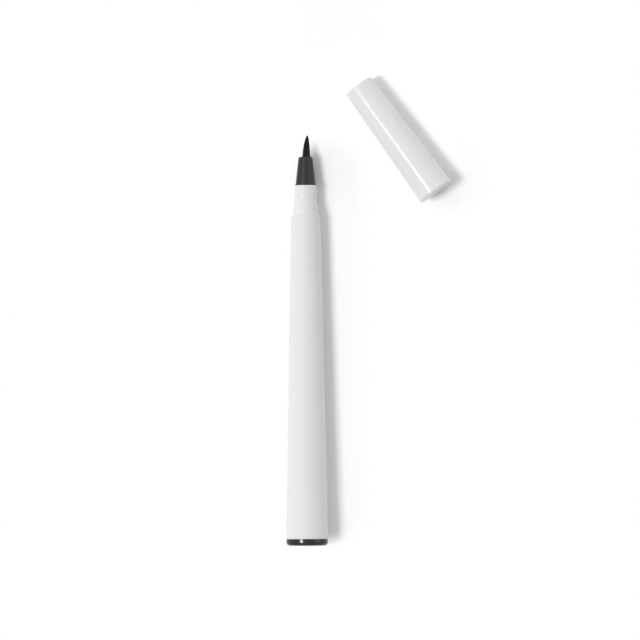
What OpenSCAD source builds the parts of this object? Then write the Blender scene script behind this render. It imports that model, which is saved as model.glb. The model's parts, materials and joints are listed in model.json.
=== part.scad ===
// Liquid eyeliner pen: a tapered barrel with a brush nib, lying beside the cap that was pulled off it.
// The pen and the cap each lie on their side, on the plane z = 0. The pen points along +Y.

/* [Barrel] */
// Length of the barrel, from its shoulder to its rear rim
barrel_length = 93; // [75:1:115]
// Diameter of the barrel at its shoulder
barrel_front_d = 8.4; // [8.2:0.1:9.2]
// Diameter of the barrel at its rear rim
barrel_rear_d = 11.9; // [11:0.1:13]
// Thickness of the barrel's wall around the ink
barrel_wall = 0.9; // [0.8:0.05:1]
// Radius of the barrel's rounded edges
barrel_edge = 0.25; // [0.1:0.05:0.4]

/* [Tail plug] */
// Length of the plug's head, which shows behind the barrel
plug_head_length = 1.85; // [1.5:0.05:3]
// How far the head stands proud of the barrel's rim, on the radius
plug_proud = 0.05; // [0:0.01:0.2]
// Radius of the head's rounded rear edge
plug_round = 1; // [0.3:0.1:1.4]
// Length of the plug's shank, which closes the barrel
plug_shank_length = 6.5; // [5:0.5:10]
// Thickness of the shank's wall
plug_wall = 0.9; // [0.7:0.1:1.4]
// Depth of the ring groove around the shank
plug_groove_depth = 0.3; // [0.1:0.05:0.4]

/* [Neck] */
// Diameter of the neck's base, which the cap grips
neck_base_d = 6.95; // [6.8:0.05:7.1]
// Length of the neck's base
neck_base_length = 2; // [1.5:0.1:2.5]
// Diameter of the neck ahead of its base
neck_front_d = 6.26; // [6.1:0.02:6.3]
// Length of the neck ahead of its base
neck_front_length = 6.55; // [6:0.05:7.5]
// Length over which the neck narrows ahead of its base
neck_flare = 2.2; // [1.5:0.1:2.4]
// Radius of the neck's rounded front edge
neck_edge = 0.25; // [0.1:0.05:0.35]
// Number of low round nubs on the neck, which centre the cap
nubs = 3; // [2:1:4]
// Radius of each nub's dome
nub_dome = 1.6; // [1:0.1:2]
// Height of each nub above the neck
nub_height = 0.1; // [0.06:0.01:0.12]
// Distance of the nubs' middle ahead of the barrel's shoulder
nub_ahead = 5.2; // [4.6:0.1:6]
// Turn of the first nub from the neck's upper side, to the left
nub_turn = 12; // [0:1:90]
// Diameter of the neck's shank inside the barrel
neck_shank_d = 6.2; // [6:0.05:6.4]
// Length of the neck's shank
neck_shank_length = 9; // [8:0.5:12]
// Distance of the seal ring behind the barrel's shoulder
seal_setback = 3; // [2:0.1:4]
// Width of the seal ring
seal_width = 1; // [0.7:0.05:1.2]
// Depth of the seal ring's groove
seal_depth = 0.5; // [0.3:0.05:0.6]

/* [Nose cone] */
// How far the cone's flange stands in from the neck's side
flange_inset = 0.13; // [0.08:0.01:0.15]
// Thickness of the cone's flange
cone_flange = 0.3; // [0.2:0.05:0.5]
// Diameter of the cone at its flange
cone_base_d = 5.9; // [5.7:0.05:5.95]
// Diameter of the cone at its front
cone_tip_d = 4.25; // [3.8:0.05:4.6]
// Length of the cone with its flange
cone_length = 8.1; // [7.5:0.1:9]
// Radius of the cone's rounded front edge
cone_edge = 0.3; // [0.1:0.05:0.5]
// Diameter of the cone's shank inside the neck
cone_shank_d = 5; // [4.6:0.1:5.2]
// Length of the cone's shank
cone_shank_length = 4.5; // [3:0.25:5.5]

/* [Brush] */
// Outer diameter of the collar that holds the bristles
collar_d = 2.6; // [2.5:0.05:3]
// Length of the collar that shows ahead of the cone
collar_reach = 0.35; // [0.2:0.05:0.8]
// Length of the collar inside the cone
collar_depth = 4.3; // [3:0.1:5.5]
// Diameter of the bristle tuft at the collar
tuft_d = 2.2; // [2:0.05:2.3]
// Length of the longest bristle ahead of the collar
tuft_length = 5.95; // [5:0.05:6.2]
// Sideways lean of the tuft's point
tuft_lean = 0.2; // [-0.4:0.1:0.4]
// How far the brush and its collar are set to the right of the cone's axis
nib_aside = 0.25; // [0:0.05:0.3]
// Number of bristles
bristles = 320; // [300:10:400]
// Thickness of a bristle at its root
bristle_d = 0.095; // [0.08:0.005:0.1]
// Thickness of the disc that the bristles are fused to
root_thickness = 0.8; // [0.5:0.1:1.5]

/* [Ink feed] */
// Diameter of the feed rod, which carries ink to the bristles
feed_d = 1.1; // [0.9:0.05:1.3]
// Length of the feed rod behind the collector
feed_reach = 1; // [0.5:0.1:2]
// Length of the collector behind the neck
collector_length = 22; // [16:1:30]
// Diameter of the collector's core
collector_core_d = 3.4; // [3:0.1:4]
// Diameter of the collector's spigot inside the neck
spigot_d = 4; // [3.4:0.1:4.4]
// Length of the collector's spigot
spigot_length = 5; // [3:0.5:6]
// Thickness of each collector fin
fin_thickness = 0.4; // [0.3:0.05:0.5]
// Distance between neighbouring fins
fin_pitch = 0.9; // [0.8:0.05:1.2]
// Width of the air slot across the fins
air_slot_w = 0.6; // [0.4:0.1:1]
// Thickness of the collector's rear flange
collector_flange = 1.2; // [0.8:0.1:2]
// Diameter of the mixing ball
ball_d = 3; // [2:0.5:3.5]

/* [Cap] */
// Length of the cap
cap_length = 37.9; // [36:0.1:42]
// Thickness of the cap's wall around its seat
cap_mouth_wall = 0.825; // [0.6:0.025:1]
// Diameter of the cap at its closed end
cap_end_d = 10.6; // [9.8:0.1:12]
// Thickness of the cap's closed end
cap_end_wall = 1.2; // [0.9:0.1:2]
// Radius of the rounded edge at the cap's mouth
cap_mouth_edge = 0.2; // [0.1:0.05:0.3]
// Radius of the rounded edge at the cap's closed end
cap_end_edge = 0.35; // [0.1:0.05:0.8]
// Depth of the cap's seat, which grips the neck's base
seat_depth = 4.9; // [4.5:0.1:6]
// Distance between the cone's flange and the bead when the pen is capped
bead_setback = 0.2; // [0.1:0.05:0.5]
// Width of the bead that keeps the inner cap in
bead_width = 0.5; // [0.3:0.05:0.8]
// Height of the bead above the guide bore
bead_height = 0.2; // [0.15:0.01:0.25]
// Diameter of the post inside the closed end that centres the spring
post_d = 3.6; // [3:0.1:3.8]
// Length of the post
post_length = 2; // [1:0.25:3]

/* [Inner cap] */
// Thickness of the inner cap's lip, which seals on the cone
lip_wall = 0.3; // [0.25:0.05:0.4]
// Thickness of the inner cap's side wall at its closed end
inner_cap_wall = 0.9; // [0.7:0.1:1]
// Room between the brush and the inner cap's closed end when the pen is capped
brush_room = 0.4; // [0.2:0.1:1]
// Thickness of the inner cap's closed end
inner_cap_end = 0.9; // [0.6:0.1:1.5]
// Length of the inner cap's narrow lip
lip_length = 0.65; // [0.6:0.05:1]
// Diameter of the spring's wire
spring_wire_d = 0.4; // [0.3:0.05:0.5]
// Diameter of the spring, to the middle of its wire
spring_d = 5; // [4.8:0.1:5.2]
// Number of turns in the spring
spring_turns = 9; // [5:1:12]

/* [Placement] */
// How far the cap's mouth lies to the right of the pen's axis
cap_aside = 15.6; // [14:0.1:40]
// How far the cap's mouth lies ahead of the barrel's shoulder
cap_ahead = 36.85; // [30:0.05:60]
// Turn of the cap away from the way the pen points, clockwise from above
cap_turn = 144; // [120:1:170]

/* [Fits] */
// Radial clearance between the cap's seat and the neck's base
seat_fit = 0.05; // [0.02:0.01:0.08]
// Radial clearance between the neck's front and the cap's bore around it
nose_fit = 0.15; // [0.13:0.01:0.2]
// Radial clearance around the inner cap
guide_fit = 0.08; // [0.04:0.01:0.1]
// Radial clearance around the feed rod
feed_fit = 0.05; // [0.02:0.01:0.1]
// Gap between the collector's fins and the barrel
fin_gap = 0.25; // [0.15:0.05:0.4]
// Gap between the mixing ball and the walls that it rests on
ball_gap = 0.1; // [0.05:0.01:0.2]
// Gap at each end of the spring, and at the inner cap's bead
end_gap = 0.05; // [0.02:0.01:0.1]

/* [Hidden] */
$fn = 96;
// Straight steps along a rounded edge
arc_steps = 8;
// Overrun of a cut past the face that it opens
overrun = 0.2;

barrel_front_r = barrel_front_d / 2;
barrel_rear_r = barrel_rear_d / 2;
plug_r = barrel_rear_r + plug_proud;
plug_shank_r = barrel_rear_r - barrel_wall;
// Share of the shank's length that lies ahead of its ring groove, and the groove's share of it
plug_groove_share = 0.35;
plug_groove_width_share = 0.15;

// Places along the pen's axis, from the barrel's shoulder towards the tip
plug_front_z = plug_shank_length - barrel_length;
plug_rear_z = -barrel_length - plug_head_length;
neck_rear_z = -neck_shank_length;
cone_seat_z = neck_base_length + neck_front_length;
cone_rear_z = cone_seat_z - cone_shank_length;
cone_front_z = cone_seat_z + cone_length;
collar_front_z = cone_front_z + collar_reach;
collar_rear_z = cone_front_z - collar_depth;
root_rear_z = collar_front_z - root_thickness;
tip_z = collar_front_z + tuft_length;
collector_rear_z = neck_rear_z - collector_length;
feed_rear_z = collector_rear_z - feed_reach;
ball_rest_z = collector_rear_z - ball_gap - ball_d / 2;

// Radius of the barrel's outside at a place along the axis
function barrel_r(z) = barrel_front_r - (barrel_rear_r - barrel_front_r) * z / barrel_length;
collector_bore_r = barrel_r(neck_rear_z) - barrel_wall;
tank_front_r = barrel_r(collector_rear_z) - barrel_wall;
tank_rear_r = barrel_r(plug_front_z) - barrel_wall;
tank_taper = atan2(tank_rear_r - tank_front_r, collector_rear_z - plug_front_z);
feed_bore_r = feed_d / 2 + feed_fit;

cone_flange_r = neck_front_d / 2 - flange_inset;
// Radius at which a nub's dome is centred
nub_r = neck_front_d / 2 + nub_height - nub_dome;

// Places along the cap's axis, from its mouth. The cap's mouth meets the barrel's shoulder when the
// pen is capped, so these places and those of the pen's nose are then the same.
guide_bore_r = neck_front_d / 2 + nose_fit;
seat_r = neck_base_d / 2 + seat_fit;
cap_mouth_r = seat_r + cap_mouth_wall;
cap_end_r = cap_end_d / 2;
cap_floor_z = cap_length - cap_end_wall;
bead_front_z = cone_seat_z + cone_flange + bead_setback;
bead_rear_z = bead_front_z + bead_width;
inner_cap_r = guide_bore_r - guide_fit;
lip_r = guide_bore_r - bead_height - guide_fit;
lip_bore_r = lip_r - lip_wall;
lip_front_z = bead_rear_z + end_gap - lip_length;
// Place on the cone where the lip seals
cone_slope = (cone_base_d - cone_tip_d) / 2 / (cone_length - cone_flange);
lip_seal_z = cone_seat_z + cone_flange + (cone_base_d / 2 - lip_bore_r) / cone_slope;
inner_cap_travel = lip_seal_z - lip_front_z;
inner_floor_z = tip_z + brush_room - inner_cap_travel;
inner_rear_z = inner_floor_z + inner_cap_end;

// The pen lies on its shoulder and on its plug's head, and the cap lies along its tapered side
pen_incline = atan2(plug_r - barrel_front_r, barrel_length - barrel_edge);
pen_height = barrel_front_r * cos(pen_incline) - barrel_edge * sin(pen_incline);
cap_side_length = cap_length - cap_mouth_edge - cap_end_edge;
cap_incline = atan2(cap_end_r - cap_mouth_r, cap_side_length);
cap_height = cap_mouth_r * cos(cap_incline) - cap_mouth_edge * sin(cap_incline);

// The cap's axis, from its mouth to its closed end
cap_axis_x = cos(cap_incline) * sin(cap_turn);
cap_axis_y = cos(cap_incline) * cos(cap_turn);

// Edges of the whole layout, seen from above, with the barrel's shoulder at x = 0, y = 0
left_x = -plug_r;
right_x = cap_aside + (cap_length - cap_end_edge) * cap_axis_x + cap_end_edge
    + (cap_end_r - cap_end_edge) * sqrt(1 - cap_axis_x * cap_axis_x);
front_y = cap_ahead + cap_mouth_edge * cap_axis_y + cap_mouth_edge
    + (cap_mouth_r - cap_mouth_edge) * sqrt(1 - cap_axis_y * cap_axis_y);
rear_y = (plug_rear_z + plug_round) * cos(pen_incline) - (plug_r - plug_round) * sin(pen_incline)
    - plug_round;
centre_x = (left_x + right_x) / 2;
centre_y = (front_y + rear_y) / 2;

// Points along an arc in a profile, from one angle to another
function arc(centre, r, from, to) =
    [for (i = [0:arc_steps]) centre + r * [cos(from + (to - from) * i / arc_steps),
                                           sin(from + (to - from) * i / arc_steps)]];

// The pen's own axis is +Z, with z = 0 at the barrel's shoulder, and +Y turns down to the table
module on_pen() {
    translate([-centre_x, -centre_y, pen_height])
        rotate([-(90 + pen_incline), 0, 0])
            children();
}

// The cap's own axis is +Z, with z = 0 at its mouth
module on_cap() {
    translate([cap_aside - centre_x, cap_ahead - centre_y, cap_height])
        rotate([0, 0, -cap_turn])
            rotate([-(90 - cap_incline), 0, 0])
                children();
}

// A solid of revolution from points of radius and place along the axis
module turned(points) {
    rotate_extrude()
        polygon(points);
}

// A round hole between two places along the axis
module hole(r, from, to) {
    translate([0, 0, from])
        cylinder(r = r, h = to - from);
}

module barrel() {
    shoulder = arc([barrel_front_r - barrel_edge, -barrel_edge], barrel_edge, 90, 0);
    rim = arc([barrel_rear_r - barrel_edge, barrel_edge - barrel_length], barrel_edge, 0, -90);
    color("white")
        on_pen()
            turned(concat(
                [[neck_shank_d / 2, 0]], shoulder, rim,
                [[plug_shank_r, -barrel_length],
                 [plug_shank_r, plug_front_z],
                 [tank_rear_r, plug_front_z],
                 [tank_front_r, collector_rear_z],
                 [collector_bore_r, collector_rear_z],
                 [collector_bore_r, neck_rear_z],
                 [neck_shank_d / 2, neck_rear_z]]));
}

// A closed cup, with a ring groove around its shank
module tail_plug() {
    head = arc([plug_r - plug_round, plug_rear_z + plug_round], plug_round, 0, -90);
    groove_front_z = plug_front_z - plug_groove_share * plug_shank_length;
    groove_rear_z = groove_front_z - plug_groove_width_share * plug_shank_length;
    groove_r = plug_shank_r - plug_groove_depth;
    cup_r = groove_r - plug_wall;
    color("black")
        on_pen()
            turned(concat(
                [[cup_r, plug_front_z],
                 [plug_shank_r, plug_front_z],
                 [plug_shank_r, groove_front_z],
                 [groove_r, groove_front_z],
                 [groove_r, groove_rear_z],
                 [plug_shank_r, groove_rear_z],
                 [plug_shank_r, -barrel_length],
                 [plug_r, -barrel_length]],
                head,
                [[0, plug_rear_z],
                 [0, -barrel_length],
                 [cup_r, -barrel_length]]));
}

// Low domes spaced evenly around the neck
module neck_nubs() {
    for (i = [0:nubs - 1])
        rotate([0, 0, -90 - nub_turn + 360 * i / nubs])
            translate([nub_r, 0, nub_ahead])
                sphere(r = nub_dome);
}

// The front section: a sleeve that narrows ahead of its base, with a groove for the seal ring
module neck() {
    flare = [for (i = [0:arc_steps])
        let (share = (1 + cos(180 * i / arc_steps)) / 2)
        [(neck_front_d + share * (neck_base_d - neck_front_d)) / 2,
         neck_base_length + neck_flare * i / arc_steps]];
    front = arc([neck_front_d / 2 - neck_edge, cone_seat_z - neck_edge], neck_edge, 0, 90);
    groove_r = neck_shank_d / 2 - seal_depth;
    color("snow")
        on_pen()
            difference() {
                union() {
                    turned(concat(
                        [[0, neck_rear_z],
                         [neck_shank_d / 2, neck_rear_z],
                         [neck_shank_d / 2, -seal_setback - seal_width],
                         [groove_r, -seal_setback - seal_width],
                         [groove_r, -seal_setback],
                         [neck_shank_d / 2, -seal_setback],
                         [neck_shank_d / 2, 0],
                         [neck_base_d / 2, 0]],
                        flare,
                        front,
                        [[0, cone_seat_z]]));
                    neck_nubs();
                }
                hole(cone_shank_d / 2, cone_rear_z, cone_seat_z + overrun);
                hole(spigot_d / 2, neck_rear_z - overrun, neck_rear_z + spigot_length);
                hole(feed_bore_r, neck_rear_z, cone_seat_z);
            }
}

// A ring that fills its groove and presses on the barrel's bore
module neck_seal() {
    outer_r = neck_shank_d / 2;
    rear_z = -seal_setback - seal_width;
    color("dimgray")
        on_pen()
            difference() {
                hole(outer_r, rear_z, -seal_setback);
                hole(outer_r - seal_depth, rear_z - overrun, overrun - seal_setback);
            }
}

// Sets the brush and its collar beside the cone's axis
module beside_axis() {
    translate([nib_aside, 0, 0])
        children();
}

module nose_cone() {
    front = arc([cone_tip_d / 2 - cone_edge, cone_front_z - cone_edge], cone_edge, 0, 90);
    color("darkslategray")
        on_pen()
            difference() {
                turned(concat(
                    [[0, cone_rear_z],
                     [cone_shank_d / 2, cone_rear_z],
                     [cone_shank_d / 2, cone_seat_z],
                     [cone_flange_r, cone_seat_z],
                     [cone_flange_r, cone_seat_z + cone_flange],
                     [cone_base_d / 2, cone_seat_z + cone_flange]],
                    front,
                    [[0, cone_front_z]]));
                beside_axis()
                    hole(collar_d / 2, collar_rear_z, cone_front_z + overrun);
                hole(feed_bore_r, cone_rear_z - overrun, cone_front_z);
            }
}

module brush_collar() {
    color("black")
        on_pen()
            difference() {
                beside_axis()
                    hole(collar_d / 2, collar_rear_z, collar_front_z);
                beside_axis()
                    hole(tuft_d / 2, root_rear_z, collar_front_z + overrun);
                hole(feed_bore_r, collar_rear_z - overrun, collar_front_z);
            }
}

// Powers that shape the tuft's outline: how long it stays full, and how blunt its point is
tuft_fullness = 1.5;
tuft_bluntness = 0.6;

// The share of the tuft's radius that is left at a share of its length
function tuft_share(u) = pow(1 - pow(u, tuft_fullness), tuft_bluntness);

// The share of the tuft's length at which its outline has come in to a share of its radius
function tuft_end_share(s) = pow(1 - pow(s, 1 / tuft_bluntness), 1 / tuft_fullness);

// Rings of a bristle, as shares of its own length
bristle_ring_shares = [0, 0.4, 0.75];
// Sides of a bristle
bristle_sides = 3;
// Angle between one bristle and the next around the tuft, which spreads them evenly
golden_angle = 180 * (3 - sqrt(5));

// The bristles draw together towards the point, by the square root of the outline's share, and each
// ends where the outline has come in to the square of its own share of the radius, so none cross.
// A bristle's place on the root is its share of the radius and its angle.
function bristle_place(i) = [sqrt((i + 0.5) / bristles), i * golden_angle];
function bristle_length_share(i) = tuft_end_share(pow(bristle_place(i)[0], 2));
function bristle_axis(i, u) =
    let (place = bristle_place(i),
         draw = sqrt(tuft_share(u)),
         r = (tuft_d - bristle_d) / 2 * place[0] * draw)
    [r * cos(place[1]) + tuft_lean * pow(u, 2), r * sin(place[1]), collar_front_z + u * tuft_length];

function bristle_ring(i, share) =
    let (u = share * bristle_length_share(i),
         middle = bristle_axis(i, u),
         r = bristle_d / 2 * sqrt(tuft_share(u)))
    [for (k = [0:bristle_sides - 1])
        let (a = bristle_place(i)[1] + 360 * k / bristle_sides)
        middle + [r * cos(a), r * sin(a), share == 0 ? -root_thickness / 2 : 0]];

// The points of a bristle: its rings from the root, and then its point
function bristle_points(i) =
    [for (share = bristle_ring_shares, p = bristle_ring(i, share)) p,
     bristle_axis(i, bristle_length_share(i))];

// The faces of a bristle, counted from its first point
function bristle_faces(first) =
    let (n = bristle_sides, rings = len(bristle_ring_shares), tip = first + n * rings)
    concat(
        [[for (k = [0:n - 1]) first + k]],
        [for (ring = [0:rings - 2], k = [0:n - 1], half = [0:1])
            let (a = first + ring * n + k, b = first + ring * n + (k + 1) % n)
            half == 0 ? [b, a, a + n] : [b, a + n, b + n]],
        [for (k = [0:n - 1]) [tip - n + (k + 1) % n, tip - n + k, tip]]);

// The bristles stand in a root disc that the collar holds
module brush_tuft() {
    bristle_size = bristle_sides * len(bristle_ring_shares) + 1;
    color("black")
        on_pen()
            beside_axis()
                union() {
                    hole(tuft_d / 2, root_rear_z, collar_front_z);
                    polyhedron(
                        points = [for (i = [0:bristles - 1], p = bristle_points(i)) p],
                        faces = [for (i = [0:bristles - 1], f = bristle_faces(i * bristle_size)) f]);
                }
}

module feed_rod() {
    color("gray")
        on_pen()
            hole(feed_d / 2, feed_rear_z, root_rear_z);
}

// A core with thin fins that hold back ink, an air slot across them, and a flange that closes the tank
module collector() {
    flange_front_z = collector_rear_z + collector_flange;
    fin_r = collector_bore_r - fin_gap;
    fins = floor((neck_rear_z - flange_front_z) / fin_pitch);
    slot_depth = collector_bore_r - collector_core_d / 2;
    color("gainsboro")
        on_pen()
            difference() {
                union() {
                    hole(spigot_d / 2, neck_rear_z, neck_rear_z + spigot_length);
                    hole(collector_core_d / 2, collector_rear_z, neck_rear_z);
                    hole(collector_bore_r, collector_rear_z, flange_front_z);
                    for (i = [0:fins - 1])
                        let (fin_z = neck_rear_z - i * fin_pitch)
                            hole(fin_r, fin_z - fin_thickness, fin_z);
                }
                hole(feed_bore_r, collector_rear_z - overrun, neck_rear_z + spigot_length + overrun);
                translate([-air_slot_w / 2, -collector_bore_r, flange_front_z])
                    cube([air_slot_w, slot_depth, neck_rear_z - flange_front_z]);
            }
}

// The ball lies at the front of the tank, on its lowest side
module mixing_ball() {
    tank_r = barrel_r(ball_rest_z) - barrel_wall;
    color("silver")
        on_pen()
            translate([0, tank_r - (ball_d / 2 + ball_gap) / cos(tank_taper), ball_rest_z])
                sphere(d = ball_d);
}

module cap_shell() {
    mouth = arc([cap_mouth_r - cap_mouth_edge, cap_mouth_edge], cap_mouth_edge, -90, 0);
    end = arc([cap_end_r - cap_end_edge, cap_length - cap_end_edge], cap_end_edge, 0, 90);
    bead_r = guide_bore_r - bead_height;
    color("white")
        on_cap()
            turned(concat(
                [[seat_r, 0]], mouth, end,
                [[0, cap_length],
                 [0, cap_floor_z - post_length],
                 [post_d / 2, cap_floor_z - post_length],
                 [post_d / 2, cap_floor_z],
                 [guide_bore_r, cap_floor_z],
                 [guide_bore_r, bead_rear_z],
                 [bead_r, bead_rear_z],
                 [bead_r, bead_front_z],
                 [guide_bore_r, bead_front_z],
                 [guide_bore_r, seat_depth],
                 [seat_r, seat_depth]]));
}

// A cup whose lip seals on the nose cone, with a post that centres the spring
module inner_cap() {
    color("whitesmoke")
        on_cap()
            turned([[lip_bore_r, lip_front_z],
                    [lip_r, lip_front_z],
                    [lip_r, bead_rear_z + end_gap],
                    [inner_cap_r, bead_rear_z + end_gap],
                    [inner_cap_r, inner_rear_z],
                    [post_d / 2, inner_rear_z],
                    [post_d / 2, inner_rear_z + post_length],
                    [0, inner_rear_z + post_length],
                    [0, inner_floor_z],
                    [inner_cap_r - inner_cap_wall, inner_floor_z]]);
}

// Rings along each turn of the spring, and sides of its wire
spring_rings = 8;
wire_sides = 6;

// The spring's wire, a helix between the inner cap and the cap's closed end
module inner_cap_spring() {
    start_z = inner_rear_z + end_gap + spring_wire_d / 2;
    rise = cap_floor_z - end_gap - spring_wire_d / 2 - start_z;
    steps = spring_turns * spring_rings;
    pitch = rise / spring_turns;
    echo(least_gap_between_turns = pitch - spring_wire_d);
    points = [for (i = [0:steps], k = [0:wire_sides - 1])
        let (a = 360 * i / spring_rings,
             b = 360 * k / wire_sides,
             r = spring_d / 2 + spring_wire_d / 2 * cos(b))
        [r * cos(a), r * sin(a), start_z + rise * i / steps + spring_wire_d / 2 * sin(b)]];
    sides = [for (i = [0:steps - 1], k = [0:wire_sides - 1], half = [0:1])
        let (a = i * wire_sides + k,
             b = i * wire_sides + (k + 1) % wire_sides)
        half == 0 ? [a, b, a + wire_sides] : [b, b + wire_sides, a + wire_sides]];
    first_end = [for (k = [wire_sides - 1:-1:0]) k];
    last_end = [for (k = [0:wire_sides - 1]) steps * wire_sides + k];
    color("silver")
        on_cap()
            polyhedron(points = points, faces = concat([first_end], sides, [last_end]));
}

barrel();
tail_plug();
neck();
neck_seal();
nose_cone();
brush_collar();
brush_tuft();
feed_rod();
collector();
mixing_ball();
cap_shell();
inner_cap();
inner_cap_spring();
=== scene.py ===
import json
import math
import random

import bmesh
import bpy
from mathutils import Matrix, Vector


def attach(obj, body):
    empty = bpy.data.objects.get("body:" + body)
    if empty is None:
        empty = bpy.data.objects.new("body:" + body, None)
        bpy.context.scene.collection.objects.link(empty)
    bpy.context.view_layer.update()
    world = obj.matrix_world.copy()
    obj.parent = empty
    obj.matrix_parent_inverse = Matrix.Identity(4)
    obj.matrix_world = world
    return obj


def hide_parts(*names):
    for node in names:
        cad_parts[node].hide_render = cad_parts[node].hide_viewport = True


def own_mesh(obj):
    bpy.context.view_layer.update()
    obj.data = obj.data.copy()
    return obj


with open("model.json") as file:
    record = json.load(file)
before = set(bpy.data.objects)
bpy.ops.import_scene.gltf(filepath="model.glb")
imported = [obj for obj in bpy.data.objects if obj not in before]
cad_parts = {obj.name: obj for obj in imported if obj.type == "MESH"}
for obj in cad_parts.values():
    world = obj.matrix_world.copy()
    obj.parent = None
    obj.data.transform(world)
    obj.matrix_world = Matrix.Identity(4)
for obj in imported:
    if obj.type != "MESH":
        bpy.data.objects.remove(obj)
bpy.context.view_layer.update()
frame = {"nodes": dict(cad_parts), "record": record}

MM = 0.001
UP = Vector((0, 0, 1))


# Places and sizes from the frame. A radius is read from the CAD a margin past a rounded edge or a step

MARGIN = 0.12

mounts = {m["name"]: m for m in frame["record"]["mounts"]}


def axis_place(origin, axis):
    """A place whose Z is the axis, whose X is level, and whose Y turns down to the table."""
    z = Vector(axis).normalized()
    x = z.cross(UP).normalized()
    return Matrix.Translation(origin) @ Matrix((x, z.cross(x), z)).transposed().to_4x4()


def mount_end(mount, way):
    """The centre of one end of a round mount: way is 1 where its axis points, and -1 behind."""
    half = mount["dims"]["length_mm"] / 2 * MM
    return Vector(mount["pos_m"]) + way * half * Vector(mount["axis"])


def points_of(node, place):
    """The points of a CAD node as seen from a place, in mm."""
    inverse = place.inverted()
    return [inverse @ v.co / MM for v in frame["nodes"][node].data.vertices]


def measured(node, place, low=-math.inf, high=math.inf):
    """Lowest station, highest station and greatest radius of a CAD node about the place's axis, in mm,
    among the points between two stations."""
    points = [p for p in points_of(node, place) if low <= p.z <= high]
    stations = [p.z for p in points]
    return min(stations), max(stations), max(math.hypot(p.x, p.y) for p in points)


def least_r(node, place):
    """Least radius of a CAD node about the place's axis, in mm."""
    return min(math.hypot(p.x, p.y) for p in points_of(node, place))


def aside(node, place):
    """How far a round node's axis lies from the place's, along the place's X, in mm."""
    reach = [p.x for p in points_of(node, place)]
    return (min(reach) + max(reach)) / 2


# The pen's stations count from the barrel's shoulder towards the tip, the cap's from its mouth inwards
pen = axis_place(mount_end(mounts["neck_base"], -1), mounts["neck_base"]["axis"])
nib_aside = aside("brush_collar", pen)
nib = pen @ Matrix.Translation((nib_aside * MM, 0, 0))
cap = axis_place(mount_end(mounts["cap_mouth"], 1), -Vector(mounts["cap_mouth"]["axis"]))


# Meshes, from points in mm about the axis of a place. An extra ring supports each edge on its long sides

SIDES = 160
ARC_STEPS = 8
SUPPORT = 0.12
LONG_SIDE = 4 * SUPPORT
LONGEST_STEP = 4.0
SHARP_ANGLE = math.radians(32)


def arc(centre, radius, start, end, steps=ARC_STEPS):
    """Points of radius and station along an arc, between two angles in degrees."""
    angles = [math.radians(start + (end - start) * i / steps) for i in range(steps + 1)]
    return [(centre[0] + radius * math.cos(a), centre[1] + radius * math.sin(a)) for a in angles]


def supported(points):
    """The closed outline with extra points on its long sides, so that shading stays true at its edges."""
    result = []
    for (r0, z0), (r1, z1) in zip(points, points[1:] + points[:1]):
        result.append((r0, z0))
        length = math.hypot(r1 - r0, z1 - z0)
        if length > LONG_SIDE and not (r0 == 0 and r1 == 0):
            middle = max(1, round(length / LONGEST_STEP))
            shares = [SUPPORT / length, *(i / middle for i in range(1, middle)), 1 - SUPPORT / length]
            result += [(r0 + (r1 - r0) * s, z0 + (z1 - z0) * s) for s in shares]
    return result


def mesh_piece(name, verts, faces, place):
    """A smooth piece that keeps its sharp edges."""
    mesh = bpy.data.meshes.new(name)
    mesh.from_pydata([place @ (MM * Vector(v)) for v in verts], [], faces)
    shape = bmesh.new()
    shape.from_mesh(mesh)
    bmesh.ops.recalc_face_normals(shape, faces=shape.faces)
    shape.to_mesh(mesh)
    shape.free()
    mesh.shade_smooth()
    mesh.set_sharp_from_angle(angle=SHARP_ANGLE)
    piece = bpy.data.objects.new(name, mesh)
    bpy.context.scene.collection.objects.link(piece)
    return piece


def ring_faces(first, count_first, second, count_second):
    """Faces between two rings of a turned piece, of which one may be a single point on the axis."""
    if count_first == count_second == 1:
        return []
    sides = [(i, (i + 1) % SIDES) for i in range(SIDES)]
    if count_first == 1:
        return [(first, second + j, second + i) for i, j in sides]
    if count_second == 1:
        return [(first + i, first + j, second) for i, j in sides]
    return [(first + i, first + j, second + j, second + i) for i, j in sides]


def turned(name, outline, place, relief=None):
    """The closed outline of (radius, station) turned about the axis. relief(angle, r, z) may change a
    point's radius."""
    verts, rings = [], []
    for r, z in supported(outline):
        count = 1 if r == 0 else SIDES
        rings.append((len(verts), count))
        for i in range(count):
            a = math.tau * i / SIDES
            reach = relief(a, r, z) if relief and count > 1 else r
            verts.append((reach * math.cos(a), reach * math.sin(a), z))
    faces = []
    for ring, following in zip(rings, rings[1:] + rings[:1]):
        faces += ring_faces(*ring, *following)
    return mesh_piece(name, verts, faces, place)


def tube_faces(first, rings, sides):
    """Faces of a closed tube whose rings of points follow each other from a first point on."""
    faces = []
    for ring in range(rings - 1):
        p, q = first + ring * sides, first + (ring + 1) * sides
        for i in range(sides):
            j = (i + 1) % sides
            faces.append((p + i, p + j, q + j, q + i))
    last = first + (rings - 1) * sides
    return faces + [tuple(end + i for i in range(sides)) for end in (first, last)]


def beside(offset, r, angle):
    """The radius, at an angle, of a circle whose centre lies beside the axis along its X."""
    return offset * math.cos(angle) + math.sqrt(r ** 2 - (offset * math.sin(angle)) ** 2)


def dressed(piece, body, slot, finish, *nodes):
    """Puts a finish on a piece that replaces CAD nodes, and lets it ride on its body."""
    piece.data.materials.append(finish)
    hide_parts(*nodes)
    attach(piece, body)


# Nodes of materials and of the surround

NOISE_SPAN = (0.3, 0.7)
NOISE_ROUGHNESS = 0.5


def feed(tree, socket, value):
    """Gives a socket its value, which may be a constant or another node's output."""
    if isinstance(value, bpy.types.NodeSocket):
        tree.links.new(value, socket)
    else:
        socket.default_value = value


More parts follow.
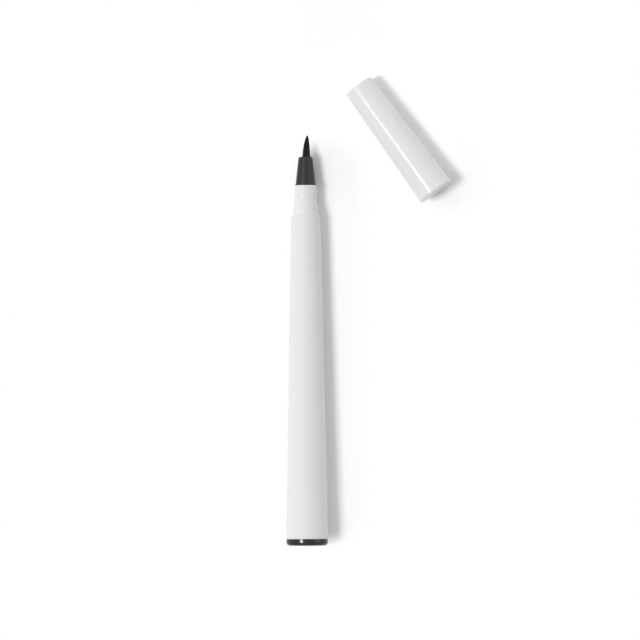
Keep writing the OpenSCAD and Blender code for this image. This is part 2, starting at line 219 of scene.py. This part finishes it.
def add_node(tree, kind, inputs=None, **settings):
    """A new node of a kind, with settings, and with inputs given by their names or numbers."""
    made = tree.nodes.new("ShaderNode" + kind)
    for setting, value in settings.items():
        setattr(made, setting, value)
    for socket, value in (inputs or {}).items():
        feed(tree, made.inputs[socket], value)
    return made


def stretched(tree, coordinates, share):
    """Coordinates in which features are longer along the axis, by one over the share."""
    return add_node(tree, "Mapping", {"Vector": coordinates, "Scale": (1, 1, share)}).outputs["Vector"]


def noise(tree, coordinates, feature, detail=3.0):
    """Soft noise whose features are about that many millimetres across."""
    return add_node(tree, "TexNoise", {
        "Vector": coordinates,
        "Scale": 1 / (feature * MM),
        "Detail": detail,
        "Roughness": NOISE_ROUGHNESS,
    }).outputs["Fac"]


def between(tree, value, low, high, span=NOISE_SPAN):
    """Maps a span of the value onto the range from low to high, and holds it there."""
    inputs = {"Value": value, "From Min": span[0], "From Max": span[1], "To Min": low, "To Max": high}
    return add_node(tree, "MapRange", inputs).outputs["Result"]


def mixed(tree, share, first, second):
    """A colour between two, by a share."""
    mix = add_node(tree, "Mix", {0: share}, data_type="RGBA")
    sockets = [s for s in mix.inputs if s.type == "RGBA"]
    for socket, colour in zip(sockets, (first, second)):
        feed(tree, socket, (*colour, 1))
    return next(s for s in mix.outputs if s.type == "RGBA")


def bumped(tree, heights):
    """The normal that bumps of (value, depth in mm) give, one after the other."""
    normal = None
    for value, depth in heights:
        bump = add_node(tree, "Bump", {"Height": value, "Distance": depth * MM, "Strength": 1})
        if normal:
            feed(tree, bump.inputs["Normal"], normal)
        normal = bump.outputs["Normal"]
    return normal


# Finishes. Colours are linear, and sizes and depths are in mm

DRIFT_SIZE = 9
GLOSS_SIZE = 1.1
WEAR_FADE = 0.5
MOULD_SHARE = 0.12
DRAWN_SHARE = 0.1
TARNISH = 0.82
TARNISH_SIZE = 1.5
STREAK_DEPTH = 0.0008
FIBRE_SHARE = 0.03
FIBRE_SPAN = (0.35, 0.65)
FIBRE_DEPTH = 0.004


def blank(name, place):
    """A material with its shader, and coordinates whose Z runs along the place's axis."""
    material = bpy.data.materials.new(name)
    material.use_nodes = True
    tree = material.node_tree
    inverse = place.inverted()
    own = add_node(tree, "Mapping", {
        "Vector": add_node(tree, "TexCoord").outputs["Object"],
        "Location": inverse.translation,
        "Rotation": inverse.to_euler(),
    })
    return material, tree.nodes["Principled BSDF"], own.outputs["Vector"]


def painted(material, shader, inputs):
    """The material, with these inputs on its shader."""
    for socket, value in inputs.items():
        feed(material.node_tree, shader.inputs[socket], value)
    return material


def worn(tree, own, value, end, extra):
    """The value, with some more added from the axis's start up to a station in mm."""
    station = add_node(tree, "SeparateXYZ", {"Vector": own}).outputs["Z"]
    fade = ((end - WEAR_FADE) * MM, (end + WEAR_FADE) * MM)
    return add_node(tree, "Math", {0: value, 1: between(tree, station, extra, 0, fade)}).outputs[0]


def plastic(name, place, colour, shade, roughness, waves, grain, specular, wear=None):
    """Moulded plastic: colour drifts a little to shade, roughness spreads over a range, and the surface
    has long shallow waves and a fine grain, each given as (size, depth). Wear is (end, extra
    roughness)."""
    material, shader, own = blank(name, place)
    tree = material.node_tree
    drift = between(tree, noise(tree, own, DRIFT_SIZE), 0, 1)
    drawn = stretched(tree, own, MOULD_SHARE)
    gloss = between(tree, noise(tree, drawn, GLOSS_SIZE, detail=5), *roughness)
    return painted(material, shader, {
        "Base Color": mixed(tree, drift, colour, shade),
        "Roughness": worn(tree, own, gloss, *wear) if wear else gloss,
        "Normal": bumped(tree, [
            (noise(tree, drawn, waves[0], detail=1), waves[1]),
            (noise(tree, own, grain[0], detail=2), grain[1]),
        ]),
        "Specular IOR Level": specular,
    })


def metal(name, place, colour, roughness, streaks):
    """Bright metal with a slight tarnish, and with drawn streaks of a given size."""
    material, shader, own = blank(name, place)
    tree = material.node_tree
    drift = between(tree, noise(tree, own, TARNISH_SIZE), 0, 1)
    drawn = stretched(tree, own, DRAWN_SHARE)
    return painted(material, shader, {
        "Base Color": mixed(tree, drift, colour, tuple(TARNISH * c for c in colour)),
        "Roughness": between(tree, noise(tree, drawn, streaks, detail=4), *roughness),
        "Normal": bumped(tree, [(noise(tree, drawn, streaks / 2, detail=2), STREAK_DEPTH)]),
        "Metallic": 1,
    })


def ink_wet(name, place, colour, shade, roughness, strand, specular):
    """Ink-soaked fibre: dark, with lengthwise streaks of a strand's width."""
    material, shader, own = blank(name, place)
    tree = material.node_tree
    drawn = stretched(tree, own, FIBRE_SHARE)
    streaks = noise(tree, drawn, strand)
    return painted(material, shader, {
        "Base Color": mixed(tree, between(tree, streaks, 0, 1, span=FIBRE_SPAN), colour, shade),
        "Roughness": between(tree, noise(tree, drawn, 2 * strand, detail=2), *roughness),
        "Normal": bumped(tree, [(streaks, FIBRE_DEPTH)]),
        "Specular IOR Level": specular,
    })


def grey(level):
    """A colour without hue."""
    return (level, level, level)


WHITE = {"colour": (0.758, 0.751, 0.737), "shade": (0.748, 0.740, 0.724)}
CAP_WHITE = {"colour": (0.780, 0.772, 0.758), "shade": (0.770, 0.761, 0.745)}

barrel_finish = plastic(
    "barrel_white", pen, **WHITE, roughness=(0.46, 0.56),
    waves=(6, 0.006), grain=(0.09, 0.0012), specular=0.15)
neck_finish = plastic(
    "neck_white", pen, **WHITE, roughness=(0.36, 0.42),
    waves=(5, 0.004), grain=(0.2, 0.0004), specular=0.15)
nub_finish = plastic(
    "nub_white", pen, **WHITE, roughness=(0.12, 0.16),
    waves=(5, 0.002), grain=(0.2, 0.0003), specular=0.5)
cap_finish = plastic(
    "cap_white", cap, **CAP_WHITE, roughness=(0.12, 0.15),
    waves=(8, 0.003), grain=(0.25, 0.0003), specular=0.16,
    wear=(mounts["cap_mouth"]["dims"]["length_mm"], 0.12))
plug_finish = plastic(
    "plug_black", pen, colour=(0.002, 0.002, 0.0023), shade=grey(0.005), roughness=(0.06, 0.09),
    waves=(3, 0.003), grain=(0.15, 0.0004), specular=0.42)
cone_finish = plastic(
    "cone_grey", pen, colour=(0.004, 0.004, 0.0043), shade=grey(0.008), roughness=(0.38, 0.43),
    waves=(2.5, 0.004), grain=(0.05, 0.001), specular=0.45)
collar_finish = plastic(
    "collar_black", nib, colour=grey(0.008), shade=grey(0.012), roughness=(0.3, 0.42),
    waves=(1, 0.002), grain=(0.05, 0.001), specular=0.25)
seal_finish = plastic(
    "seal_rubber", pen, colour=grey(0.02), shade=(0.035, 0.035, 0.034), roughness=(0.6, 0.75),
    waves=(1, 0.003), grain=(0.04, 0.002), specular=0.4)
collector_finish = plastic(
    "collector_natural", pen, colour=(0.6, 0.6, 0.57), shade=(0.54, 0.54, 0.52), roughness=(0.3, 0.45),
    waves=(2, 0.003), grain=(0.06, 0.001), specular=0.5)
inner_cap_finish = plastic(
    "inner_cap_white", cap, colour=(0.72, 0.72, 0.71), shade=(0.68, 0.68, 0.67), roughness=(0.32, 0.45),
    waves=(3, 0.004), grain=(0.08, 0.001), specular=0.5)
bristle_finish = ink_wet(
    "bristle_black", nib, colour=(0.003, 0.003, 0.0035), shade=grey(0.012), roughness=(0.3, 0.5),
    strand=0.05, specular=0.25)
feed_finish = ink_wet(
    "feed_fibre", pen, colour=(0.04, 0.04, 0.045), shade=(0.09, 0.09, 0.1), roughness=(0.6, 0.8),
    strand=0.04, specular=0.4)
ball_finish = metal("ball_steel", pen, colour=(0.68, 0.68, 0.69), roughness=(0.12, 0.2), streaks=0.3)
spring_finish = metal("spring_steel", cap, colour=(0.6, 0.6, 0.61), roughness=(0.2, 0.32), streaks=0.12)


# Barrel

BARREL_EDGE = 0.25
BARREL_WALL = 0.9
RIM_GROOVE = 0.08
RIM_GROOVE_WIDTH = 0.12
RIM_GROOVE_SETBACK = 0.35


def make_barrel():
    rear, front, rear_r = measured("barrel", pen)
    front_r = measured("barrel", pen, front - BARREL_EDGE - MARGIN)[2]
    plug_front = measured("tail_plug", pen)[1]
    neck_rear = measured("neck", pen)[0]
    collector_rear, _, collector_r = measured("collector", pen)
    shank_r = measured("neck", pen, high=front - MARGIN)[2]
    slope = (rear_r - front_r) / (front - rear)

    def side_r(z):
        return front_r - slope * z

    groove = rear + BARREL_EDGE + RIM_GROOVE_SETBACK
    outline = [
        (shank_r, front),
        *arc((front_r - BARREL_EDGE, front - BARREL_EDGE), BARREL_EDGE, 90, 0),
        (side_r(groove + RIM_GROOVE_WIDTH), groove + RIM_GROOVE_WIDTH),
        (side_r(groove + RIM_GROOVE_WIDTH / 2) - RIM_GROOVE, groove + RIM_GROOVE_WIDTH / 2),
        (side_r(groove), groove),
        *arc((rear_r - BARREL_EDGE, rear + BARREL_EDGE), BARREL_EDGE, 0, -90),
        (rear_r - BARREL_WALL, rear),
        (rear_r - BARREL_WALL, plug_front),
        (side_r(plug_front) - BARREL_WALL, plug_front),
        (side_r(collector_rear) - BARREL_WALL, collector_rear),
        (collector_r, collector_rear),
        (collector_r, neck_rear),
        (shank_r, neck_rear),
    ]
    shell = turned("barrel_shell", outline[::-1], pen)
    dressed(shell, "pen", "barrel_white", barrel_finish, "barrel")


# Tail plug

PLUG_ROUND = 1.0
PLUG_WALL = 0.9
PLUG_GROOVE_DEPTH = 0.3
PLUG_GROOVE_SHARE = 0.35
PLUG_GROOVE_WIDTH_SHARE = 0.15


def make_tail_plug():
    rear, front, head_r = measured("tail_plug", pen)
    barrel_rear, _, barrel_r = measured("barrel", pen)
    shank_r = barrel_r - BARREL_WALL
    groove_r = shank_r - PLUG_GROOVE_DEPTH
    groove_front = front - PLUG_GROOVE_SHARE * (front - barrel_rear)
    groove_rear = groove_front - PLUG_GROOVE_WIDTH_SHARE * (front - barrel_rear)
    outline = [
        (0, rear),
        *arc((head_r - PLUG_ROUND, rear + PLUG_ROUND), PLUG_ROUND, -90, 0),
        (head_r, barrel_rear),
        (shank_r, barrel_rear),
        (shank_r, groove_rear),
        (groove_r, groove_rear),
        (groove_r, groove_front),
        (shank_r, groove_front),
        (shank_r, front),
        (groove_r - PLUG_WALL, front),
        (groove_r - PLUG_WALL, barrel_rear),
        (0, barrel_rear),
    ]
    plug = turned("plug_shell", outline, pen)
    dressed(plug, "pen", "plug_black", plug_finish, "tail_plug")


# Neck, with the low nubs that centre the cap. Each is a dome whose top stands a little proud of the neck's
# front, and which is stretched along the axis

NECK_EDGE = 0.25
FLARE = 2.2
FLARE_STEPS = 16
NUBS = 3
NUB_DOME = 1.8
NUB_HEIGHT = 0.1
NUB_STRETCH = 1.2
NUB_AHEAD = 5.5
NUB_TURN = math.radians(12)
NUB_STEP = 0.1
NUB_ROWS = 30
NUB_SHOWS = 0.01
CONE_SHANK_R = 2.5
CONE_SHANK_LENGTH = 4.5
FEED_BORE_R = 0.6


def nub_relief(front_r, flare_front):
    """A relief that raises the radius where a nub's dome stands above the neck's front."""
    centre_r = front_r + NUB_HEIGHT - NUB_DOME

    def nubbed(angle, r, z):
        rise = (z - NUB_AHEAD) / NUB_STRETCH
        if abs(rise) > NUB_DOME or z < flare_front or r < front_r:
            return r
        for i in range(NUBS):
            off = angle - (-math.pi / 2 - NUB_TURN + math.tau * i / NUBS)
            reach = NUB_DOME ** 2 - rise ** 2 - (centre_r * math.sin(off)) ** 2
            if reach > 0 and math.cos(off) > 0:
                r = max(r, centre_r * math.cos(off) + math.sqrt(reach))
        return r

    return nubbed


def polish_nubs(sleeve, front_r, flare_front):
    """Gives the faces on the nubs their own finish."""
    sleeve.data.materials.append(nub_finish)
    inverse = pen.inverted()
    for face in sleeve.data.polygons:
        middle = inverse @ face.center / MM
        on_nub = math.hypot(middle.x, middle.y) > front_r + NUB_SHOWS and middle.z > flare_front
        face.material_index = int(on_nub)


def make_neck():
    rear, front, _ = measured("neck", pen)
    base_r = mounts["neck_base"]["dims"]["r_mm"]
    base = mounts["neck_base"]["dims"]["length_mm"]
    front_r = measured("neck", pen, front - NECK_EDGE - MARGIN)[2]
    shank_r = measured("neck", pen, high=-MARGIN)[2]
    spigot_front = measured("collector", pen)[1]
    spigot_r = measured("collector", pen, rear + MARGIN)[2]
    seal_rear, seal_front, _ = measured("neck_seal", pen)
    groove_r = least_r("neck_seal", pen)
    rise = base_r - front_r
    shares = [i / FLARE_STEPS for i in range(FLARE_STEPS + 1)]
    outline = [
        (spigot_r, rear),
        (shank_r, rear),
        (shank_r, seal_rear),
        (groove_r, seal_rear),
        (groove_r, seal_front),
        (shank_r, seal_front),
        (shank_r, 0),
        (base_r, 0),
        *((front_r + rise * (1 + math.cos(math.pi * s)) / 2, base + FLARE * s) for s in shares),
        *((front_r, base + FLARE + NUB_STEP * i) for i in range(1, NUB_ROWS)),
        *arc((front_r - NECK_EDGE, front - NECK_EDGE), NECK_EDGE, 0, 90),
        (CONE_SHANK_R, front),
        (CONE_SHANK_R, front - CONE_SHANK_LENGTH),
        (FEED_BORE_R, front - CONE_SHANK_LENGTH),
        (FEED_BORE_R, spigot_front),
        (spigot_r, spigot_front),
    ]
    sleeve = turned("neck_sleeve", outline, pen, nub_relief(front_r, base + FLARE))
    dressed(sleeve, "pen", "neck_white", neck_finish, "neck")
    polish_nubs(sleeve, front_r, base + FLARE)


# Nose cone and brush collar. The cone stands in from its flange, and from the CAD at its tip

CONE_EDGE = 0.3
CONE_BASE_INSET = 0.15
CONE_TIP_INSET = 0.1
FLANGE = 0.3
FLANGE_EDGE = 0.06
FLANGE_STEPS = 4
COLLAR_ROUND = 0.15
COLLAR_STEPS = 6
COLLAR_EDGE = 0.04
COLLAR_EDGE_STEPS = 4


def make_cone():
    rear, front, flange_r = measured("nose_cone", pen)
    seat = measured("neck", pen)[1]
    base_r = flange_r - CONE_BASE_INSET
    tip_r = measured("nose_cone", pen, front - CONE_EDGE - MARGIN)[2] - CONE_TIP_INSET
    face_r = tip_r - CONE_EDGE
    collar_rear, _, collar_r = measured("brush_collar", nib)

    def bored(angle, r, z):
        """The radius, with the collar's hole beside the axis, and the flats that end it drawn along."""
        if z < collar_rear or r > face_r:
            return r
        share = min((r - FEED_BORE_R) / (collar_r - FEED_BORE_R), (face_r - r) / (face_r - collar_r))
        return beside(share * nib_aside, r, angle)

    outline = [
        (FEED_BORE_R, rear),
        (CONE_SHANK_R, rear),
        (CONE_SHANK_R, seat),
        (flange_r, seat),
        *arc((flange_r - FLANGE_EDGE, seat + FLANGE - FLANGE_EDGE), FLANGE_EDGE, 0, 90, FLANGE_STEPS),
        (base_r, seat + FLANGE),
        *arc((face_r, front - CONE_EDGE), CONE_EDGE, 0, 90),
        (collar_r, front),
        (collar_r, collar_rear),
        (FEED_BORE_R, collar_rear),
    ]
    shell = turned("cone_shell", outline, pen, bored)
    dressed(shell, "pen", "cone_grey", cone_finish, "nose_cone")


def make_collar():
    rear, front, collar_r = measured("brush_collar", nib)
    tuft_r = measured("brush_tuft", nib, high=front)[2]
    root_rear = measured("brush_tuft", nib)[0]

    def bored(angle, r, z):
        """The radius, with the feed's hole on the pen's axis, and the flats that end it drawn along."""
        share = max(0, (tuft_r - r) / (tuft_r - FEED_BORE_R))
        return beside(-share * nib_aside, r, angle)

    outline = [
        (FEED_BORE_R, rear),
        (collar_r, rear),
        *arc((collar_r - COLLAR_ROUND, front - COLLAR_ROUND), COLLAR_ROUND, 0, 90, COLLAR_STEPS),
        *arc((tuft_r + COLLAR_EDGE, front - COLLAR_EDGE), COLLAR_EDGE, 90, 180, COLLAR_EDGE_STEPS),
        (tuft_r, root_rear),
        (FEED_BORE_R, root_rear),
    ]
    ring = turned("collar_ring", outline, nib, bored)
    dressed(ring, "pen", "collar_black", collar_finish, "brush_collar")


# Brush: strands that draw together to a wet point. Those in the core reach further than those at the rim

STRANDS = 900
STRAND_SIDES = 4
STRAND_RINGS = 9
STRAND_R = 0.045
STRAND_R_SPREAD = (0.8, 1.15)
STRAND_WANDER = 0.05
STRAND_TAPER = 0.55
STRAND_THINNING = 0.6
STRAND_LEAST_SHARE = 0.16
CORE_SHARE = 0.9
CORE_ENDS = (0.9, 1.0)
RIM_ENDS = (0.72, 0.985)
TUFT_FULLNESS = 1.5
TUFT_BLUNTNESS = 0.56
TUFT_LEAN = 0.32
GOLDEN_ANGLE = math.pi * (3 - math.sqrt(5))
BRUSH_SEED = 7

# Wide and thin clumps of wet strands around the tuft
RIDGE_DEPTH = 0.03
RIDGE_GROWTH = 1.6
WIDE_CLUMPS = 7
WIDE_WEIGHT = 0.6
WIDE_TURN = 0.8
THIN_CLUMPS = 12
THIN_WEIGHT = 0.4
THIN_TURN = 2.1
THIN_TWIST = 1.5


def tuft_share(u):
    """The share of the tuft's radius that is left at a share of its length."""
    return max(0.0, 1 - u ** TUFT_FULLNESS) ** TUFT_BLUNTNESS


def ridge(angle, u):
    """The share of the radius that the clumps leave, which falls between them and towards the point."""
    wide = WIDE_WEIGHT * math.sin(WIDE_CLUMPS * angle + WIDE_TURN)
    thin = THIN_WEIGHT * math.sin(THIN_CLUMPS * angle + THIN_TURN + THIN_TWIST * u)
    return 1 - RIDGE_DEPTH * min(1, RIDGE_GROWTH * u) * (1 - (wide + thin))


def strand_points(dice, number, radius, height):
    """Points of one strand's rings. height(u) is the station at a share of the tuft's length."""
    place = math.sqrt((number + 0.5) / STRANDS)
    angle = number * GOLDEN_ANGLE
    end = dice.uniform(*(CORE_ENDS if place < CORE_SHARE else RIM_ENDS))
    wander = dice.uniform(-STRAND_WANDER, STRAND_WANDER)
    thick = STRAND_R * dice.uniform(*STRAND_R_SPREAD)
    points = []
    for ring in range(STRAND_RINGS):
        s = ring / (STRAND_RINGS - 1)
        u = end * s
        share = tuft_share(u)
        a = angle + wander * s
        reach = (radius - thick / 2) * place * share * ridge(angle, u)
        r = thick * max(STRAND_LEAST_SHARE, share) ** STRAND_THINNING * (1 - STRAND_TAPER * s ** 3)
        x, y = TUFT_LEAN * u ** 2 + reach * math.cos(a), reach * math.sin(a)
        turns = [a + math.tau * k / STRAND_SIDES for k in range(STRAND_SIDES)]
        points += [(x + r * math.cos(t), y + r * math.sin(t), height(u)) for t in turns]
    return points


def make_brush():
    dice = random.Random(BRUSH_SEED)
    root = measured("brush_collar", nib)[1]
    root_rear, tip, _ = measured("brush_tuft", nib)
    radius = measured("brush_tuft", nib, high=root)[2]

    def height(u):
        return root_rear if u == 0 else root + u * (tip - root)

    verts, faces = [], []
    for number in range(STRANDS):
        faces += tube_faces(len(verts), STRAND_RINGS, STRAND_SIDES)
        verts += strand_points(dice, number, radius, height)
    brush = mesh_piece("brush_strands", verts, faces, nib)
    dressed(brush, "pen", "bristle_black", bristle_finish, "brush_tuft")


# Cap and its spring

CAP_MOUTH_EDGE = 0.2
CAP_END_EDGE = 0.35
CAP_END_WALL = 1.2
GUIDE_BORE_R = 3.28
BEAD_FRONT = 9.05
BEAD_WIDTH = 0.5
BEAD_HEIGHT = 0.2
LEAD_IN = 0.12
POST_R = 1.8
POST_LENGTH = 2.0


def make_cap():
    _, length, end_r = measured("cap_shell", cap)
    mouth_r = measured("cap_shell", cap, high=CAP_MOUTH_EDGE + MARGIN)[2]
    seat_r = mounts["cap_mouth"]["dims"]["r_mm"]
    seat_depth = mounts["cap_mouth"]["dims"]["length_mm"]
    floor = length - CAP_END_WALL
    outline = [
        (seat_r + LEAD_IN, 0),
        *arc((mouth_r - CAP_MOUTH_EDGE, CAP_MOUTH_EDGE), CAP_MOUTH_EDGE, -90, 0),
        *arc((end_r - CAP_END_EDGE, length - CAP_END_EDGE), CAP_END_EDGE, 0, 90),
        (0, length),
        (0, floor - POST_LENGTH),
        (POST_R, floor - POST_LENGTH),
        (POST_R, floor),
        (GUIDE_BORE_R, floor),
        (GUIDE_BORE_R, BEAD_FRONT + BEAD_WIDTH),
        (GUIDE_BORE_R - BEAD_HEIGHT, BEAD_FRONT + BEAD_WIDTH),
        (GUIDE_BORE_R - BEAD_HEIGHT, BEAD_FRONT),
        (GUIDE_BORE_R, BEAD_FRONT),
        (GUIDE_BORE_R, seat_depth),
        (seat_r, seat_depth),
        (seat_r, LEAD_IN),
    ]
    tube = turned("cap_tube", outline, cap)
    dressed(tube, "cap", "cap_white", cap_finish, "cap_shell")


SPRING_WIRE_R = 0.2
SPRING_TURNS = 9
SPRING_STEPS = 40
WIRE_SIDES = 12


def make_spring():
    low, high, outer_r = measured("inner_cap_spring", cap)
    middle_r = outer_r - SPRING_WIRE_R
    start, rise = low + SPRING_WIRE_R, high - low - 2 * SPRING_WIRE_R
    steps = SPRING_TURNS * SPRING_STEPS
    verts = []
    for i in range(steps + 1):
        a = math.tau * i / SPRING_STEPS
        for k in range(WIRE_SIDES):
            b = math.tau * k / WIRE_SIDES
            r = middle_r + SPRING_WIRE_R * math.cos(b)
            z = start + rise * i / steps + SPRING_WIRE_R * math.sin(b)
            verts.append((r * math.cos(a), r * math.sin(a), z))
    wire = mesh_piece("spring_wire", verts, tube_faces(0, steps + 1, WIRE_SIDES), cap)
    dressed(wire, "cap", "spring_steel", spring_finish, "inner_cap_spring")
    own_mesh(wire)


def finish_node(node, material):
    """Gives a CAD node that stays its own finish."""
    mesh = frame["nodes"][node].data
    mesh.materials.clear()
    mesh.materials.append(material)


make_barrel()
make_tail_plug()
make_neck()
make_cone()
make_collar()
make_brush()
make_cap()
make_spring()
finish_node("neck_seal", seal_finish)
finish_node("feed_rod", feed_finish)
finish_node("collector", collector_finish)
finish_node("mixing_ball", ball_finish)
finish_node("inner_cap", inner_cap_finish)


# Camera, as the photograph was taken: almost straight down, a little from the right

FRAME_PX = 640
PIXEL = 0.2871 * MM
SHOULDER_PX = (305.7, 215.15)
LEAN = math.radians(0.41)
TILT = math.radians(7.5)
BACK_TILT = math.radians(0.5)
DISTANCE = 1.8
SENSOR_MM = 36
CLIP_START = 0.01
CLIP_END = 10
FORWARD = Vector((0, 1, 0))


def square_to(back):
    """The way square to back that lies nearest to forward."""
    return (FORWARD - FORWARD.dot(back) * back).normalized()


def make_camera():
    """Makes the camera, and returns the point that it looks at."""
    camera = bpy.data.objects.new("camera", bpy.data.cameras.new("camera"))
    bpy.context.scene.collection.objects.link(camera)
    back = Vector((math.sin(TILT), -math.sin(BACK_TILT), math.cos(TILT))).normalized()
    along = square_to(back)
    up = math.cos(LEAN) * along + math.sin(LEAN) * along.cross(back)
    right = up.cross(back)
    across, down = (FRAME_PX / 2 - px for px in SHOULDER_PX)
    centre = pen.translation + PIXEL * (across * right - down * up)
    turn = Matrix((right, up, back)).transposed().to_4x4()
    camera.matrix_world = Matrix.Translation(centre + DISTANCE * back) @ turn
    camera.data.sensor_width = SENSOR_MM
    camera.data.lens = SENSOR_MM * DISTANCE / (FRAME_PX * PIXEL)
    camera.data.clip_start = CLIP_START
    camera.data.clip_end = CLIP_END
    bpy.context.scene.camera = camera
    return centre


# Light: a soft box and a wide dim one above to the left, a weak strip low on the right, and a surround

BOX_WAY = (-0.408, -0.115, 0.905)
BOX_DISTANCE = 2.3
BOX_SIZE = (0.48, 0.62)
BOX_POWER = 24.5
WIDE_SIZE = (2.0, 2.0)
WIDE_POWER = 6
STRIP_WAY = (0.90, 0.22, 0.38)
STRIP_DISTANCE = 1.6
STRIP_SIZE = (1.2, 0.8)
STRIP_POWER = 3.5
SURROUND_LEVEL = 0.72
SURROUND_RISE = (-0.18, 0.41, -0.39)


def make_lamp(name, centre, way, distance, size, power):
    """A rectangular lamp that faces the centre: its first side runs along Y, its second across."""
    light = bpy.data.lights.new(name, "AREA")
    light.shape = "RECTANGLE"
    light.size, light.size_y = size
    light.energy = power
    lamp = bpy.data.objects.new(name, light)
    bpy.context.scene.collection.objects.link(lamp)
    back = Vector(way).normalized()
    along = square_to(back)
    turn = Matrix((along, back.cross(along), back)).transposed().to_4x4()
    lamp.matrix_world = Matrix.Translation(centre + distance * back) @ turn


def seen_directly(tree):
    """1 for rays that show the background: from the camera, or off gloss or glass."""
    path = add_node(tree, "LightPath")
    share = path.outputs["Is Camera Ray"]
    for ray in ("Is Glossy Ray", "Is Transmission Ray"):
        share = add_node(tree, "Math", {0: share, 1: path.outputs[ray]}, operation="MAXIMUM").outputs[0]
    return share


def vector_math(tree, operation, inputs):
    """The outputs of a new vector node."""
    return add_node(tree, "VectorMath", inputs, operation=operation).outputs


def make_surround():
    """White where it is seen directly. Its light is stronger from the left, ahead and low down."""
    world = bpy.data.worlds.new("surround")
    bpy.context.scene.world = world
    world.use_nodes = True
    tree = world.node_tree
    way = add_node(tree, "TexCoord").outputs["Generated"]
    rise = vector_math(tree, "DOT_PRODUCT", {0: way, 1: SURROUND_RISE})["Value"]
    lighting = add_node(tree, "Math", {0: rise, 1: SURROUND_LEVEL}).outputs[0]
    strength = between(tree, seen_directly(tree), lighting, 1, span=(0, 1))
    background = tree.nodes["Background"]
    feed(tree, background.inputs["Strength"], strength)
    feed(tree, background.inputs["Color"], (1, 1, 1, 1))


# Floor. It takes the shadow near a stretch of the pen's axis and of the cap's, given by their stations

FLOOR_SIZE = 6.0
SHADOW_NEAR = 6 * MM
SHADOW_FAR = 12 * MM
SHADOW_SHIFT = Vector((6 * MM, 1.5 * MM, 0))
PEN_SHADOW = (-85.8, 9.9)
CAP_SHADOW = (-23, 34)


def distance_to(tree, position, place, stations):
    """Distance on the floor from a position to a stretch of the place's axis, shifted as the shadow is."""
    ends = [place @ Vector((0, 0, z * MM)) for z in stations]
    start, end = (Vector((p.x, p.y, 0)) + SHADOW_SHIFT for p in ends)
    stretch = end - start
    offset = vector_math(tree, "SUBTRACT", {0: position, 1: start})["Vector"]
    share = vector_math(tree, "DOT_PRODUCT", {0: offset, 1: stretch / stretch.length_squared})["Value"]
    held = add_node(tree, "Clamp", {"Value": share}).outputs["Result"]
    nearest = vector_math(tree, "SCALE", {0: stretch, "Scale": held})["Vector"]
    rest = vector_math(tree, "SUBTRACT", {0: offset, 1: nearest})["Vector"]
    return vector_math(tree, "LENGTH", {0: rest})["Value"]


def floor_finish():
    """Matt white near the object, and plain white further off where it is seen directly."""
    material = bpy.data.materials.new("floor_white")
    material.use_nodes = True
    tree = material.node_tree
    tree.nodes.clear()
    own = add_node(tree, "TexCoord").outputs["Object"]
    from_pen = distance_to(tree, own, pen, PEN_SHADOW)
    from_cap = distance_to(tree, own, cap, CAP_SHADOW)
    nearer = add_node(tree, "Math", {0: from_pen, 1: from_cap}, operation="MINIMUM").outputs[0]
    fade = add_node(
        tree, "MapRange", {"Value": nearer, "From Min": SHADOW_NEAR, "From Max": SHADOW_FAR},
        interpolation_type="SMOOTHSTEP").outputs["Result"]
    share = add_node(tree, "Math", {0: fade, 1: seen_directly(tree)}, operation="MULTIPLY").outputs[0]
    matt = add_node(tree, "BsdfDiffuse", {"Color": (1, 1, 1, 1)}).outputs[0]
    plain = add_node(tree, "Emission").outputs[0]
    mix = add_node(tree, "MixShader", {0: share, 1: matt, 2: plain}).outputs[0]
    add_node(tree, "OutputMaterial", {"Surface": mix})
    return material


def make_floor():
    mesh = bpy.data.meshes.new("floor")
    half = FLOOR_SIZE / 2
    corners = [(-half, -half, 0), (half, -half, 0), (half, half, 0), (-half, half, 0)]
    mesh.from_pydata(corners, [], [(0, 1, 2, 3)])
    floor = bpy.data.objects.new("floor", mesh)
    bpy.context.scene.collection.objects.link(floor)
    mesh.materials.append(floor_finish())


view_centre = make_camera()
make_lamp("soft_box", view_centre, BOX_WAY, BOX_DISTANCE, BOX_SIZE, BOX_POWER)
make_lamp("wide_box", view_centre, BOX_WAY, BOX_DISTANCE, WIDE_SIZE, WIDE_POWER)
make_lamp("side_strip", view_centre, STRIP_WAY, STRIP_DISTANCE, STRIP_SIZE, STRIP_POWER)
make_surround()
make_floor()
bpy.context.scene.view_settings.view_transform = "Standard"
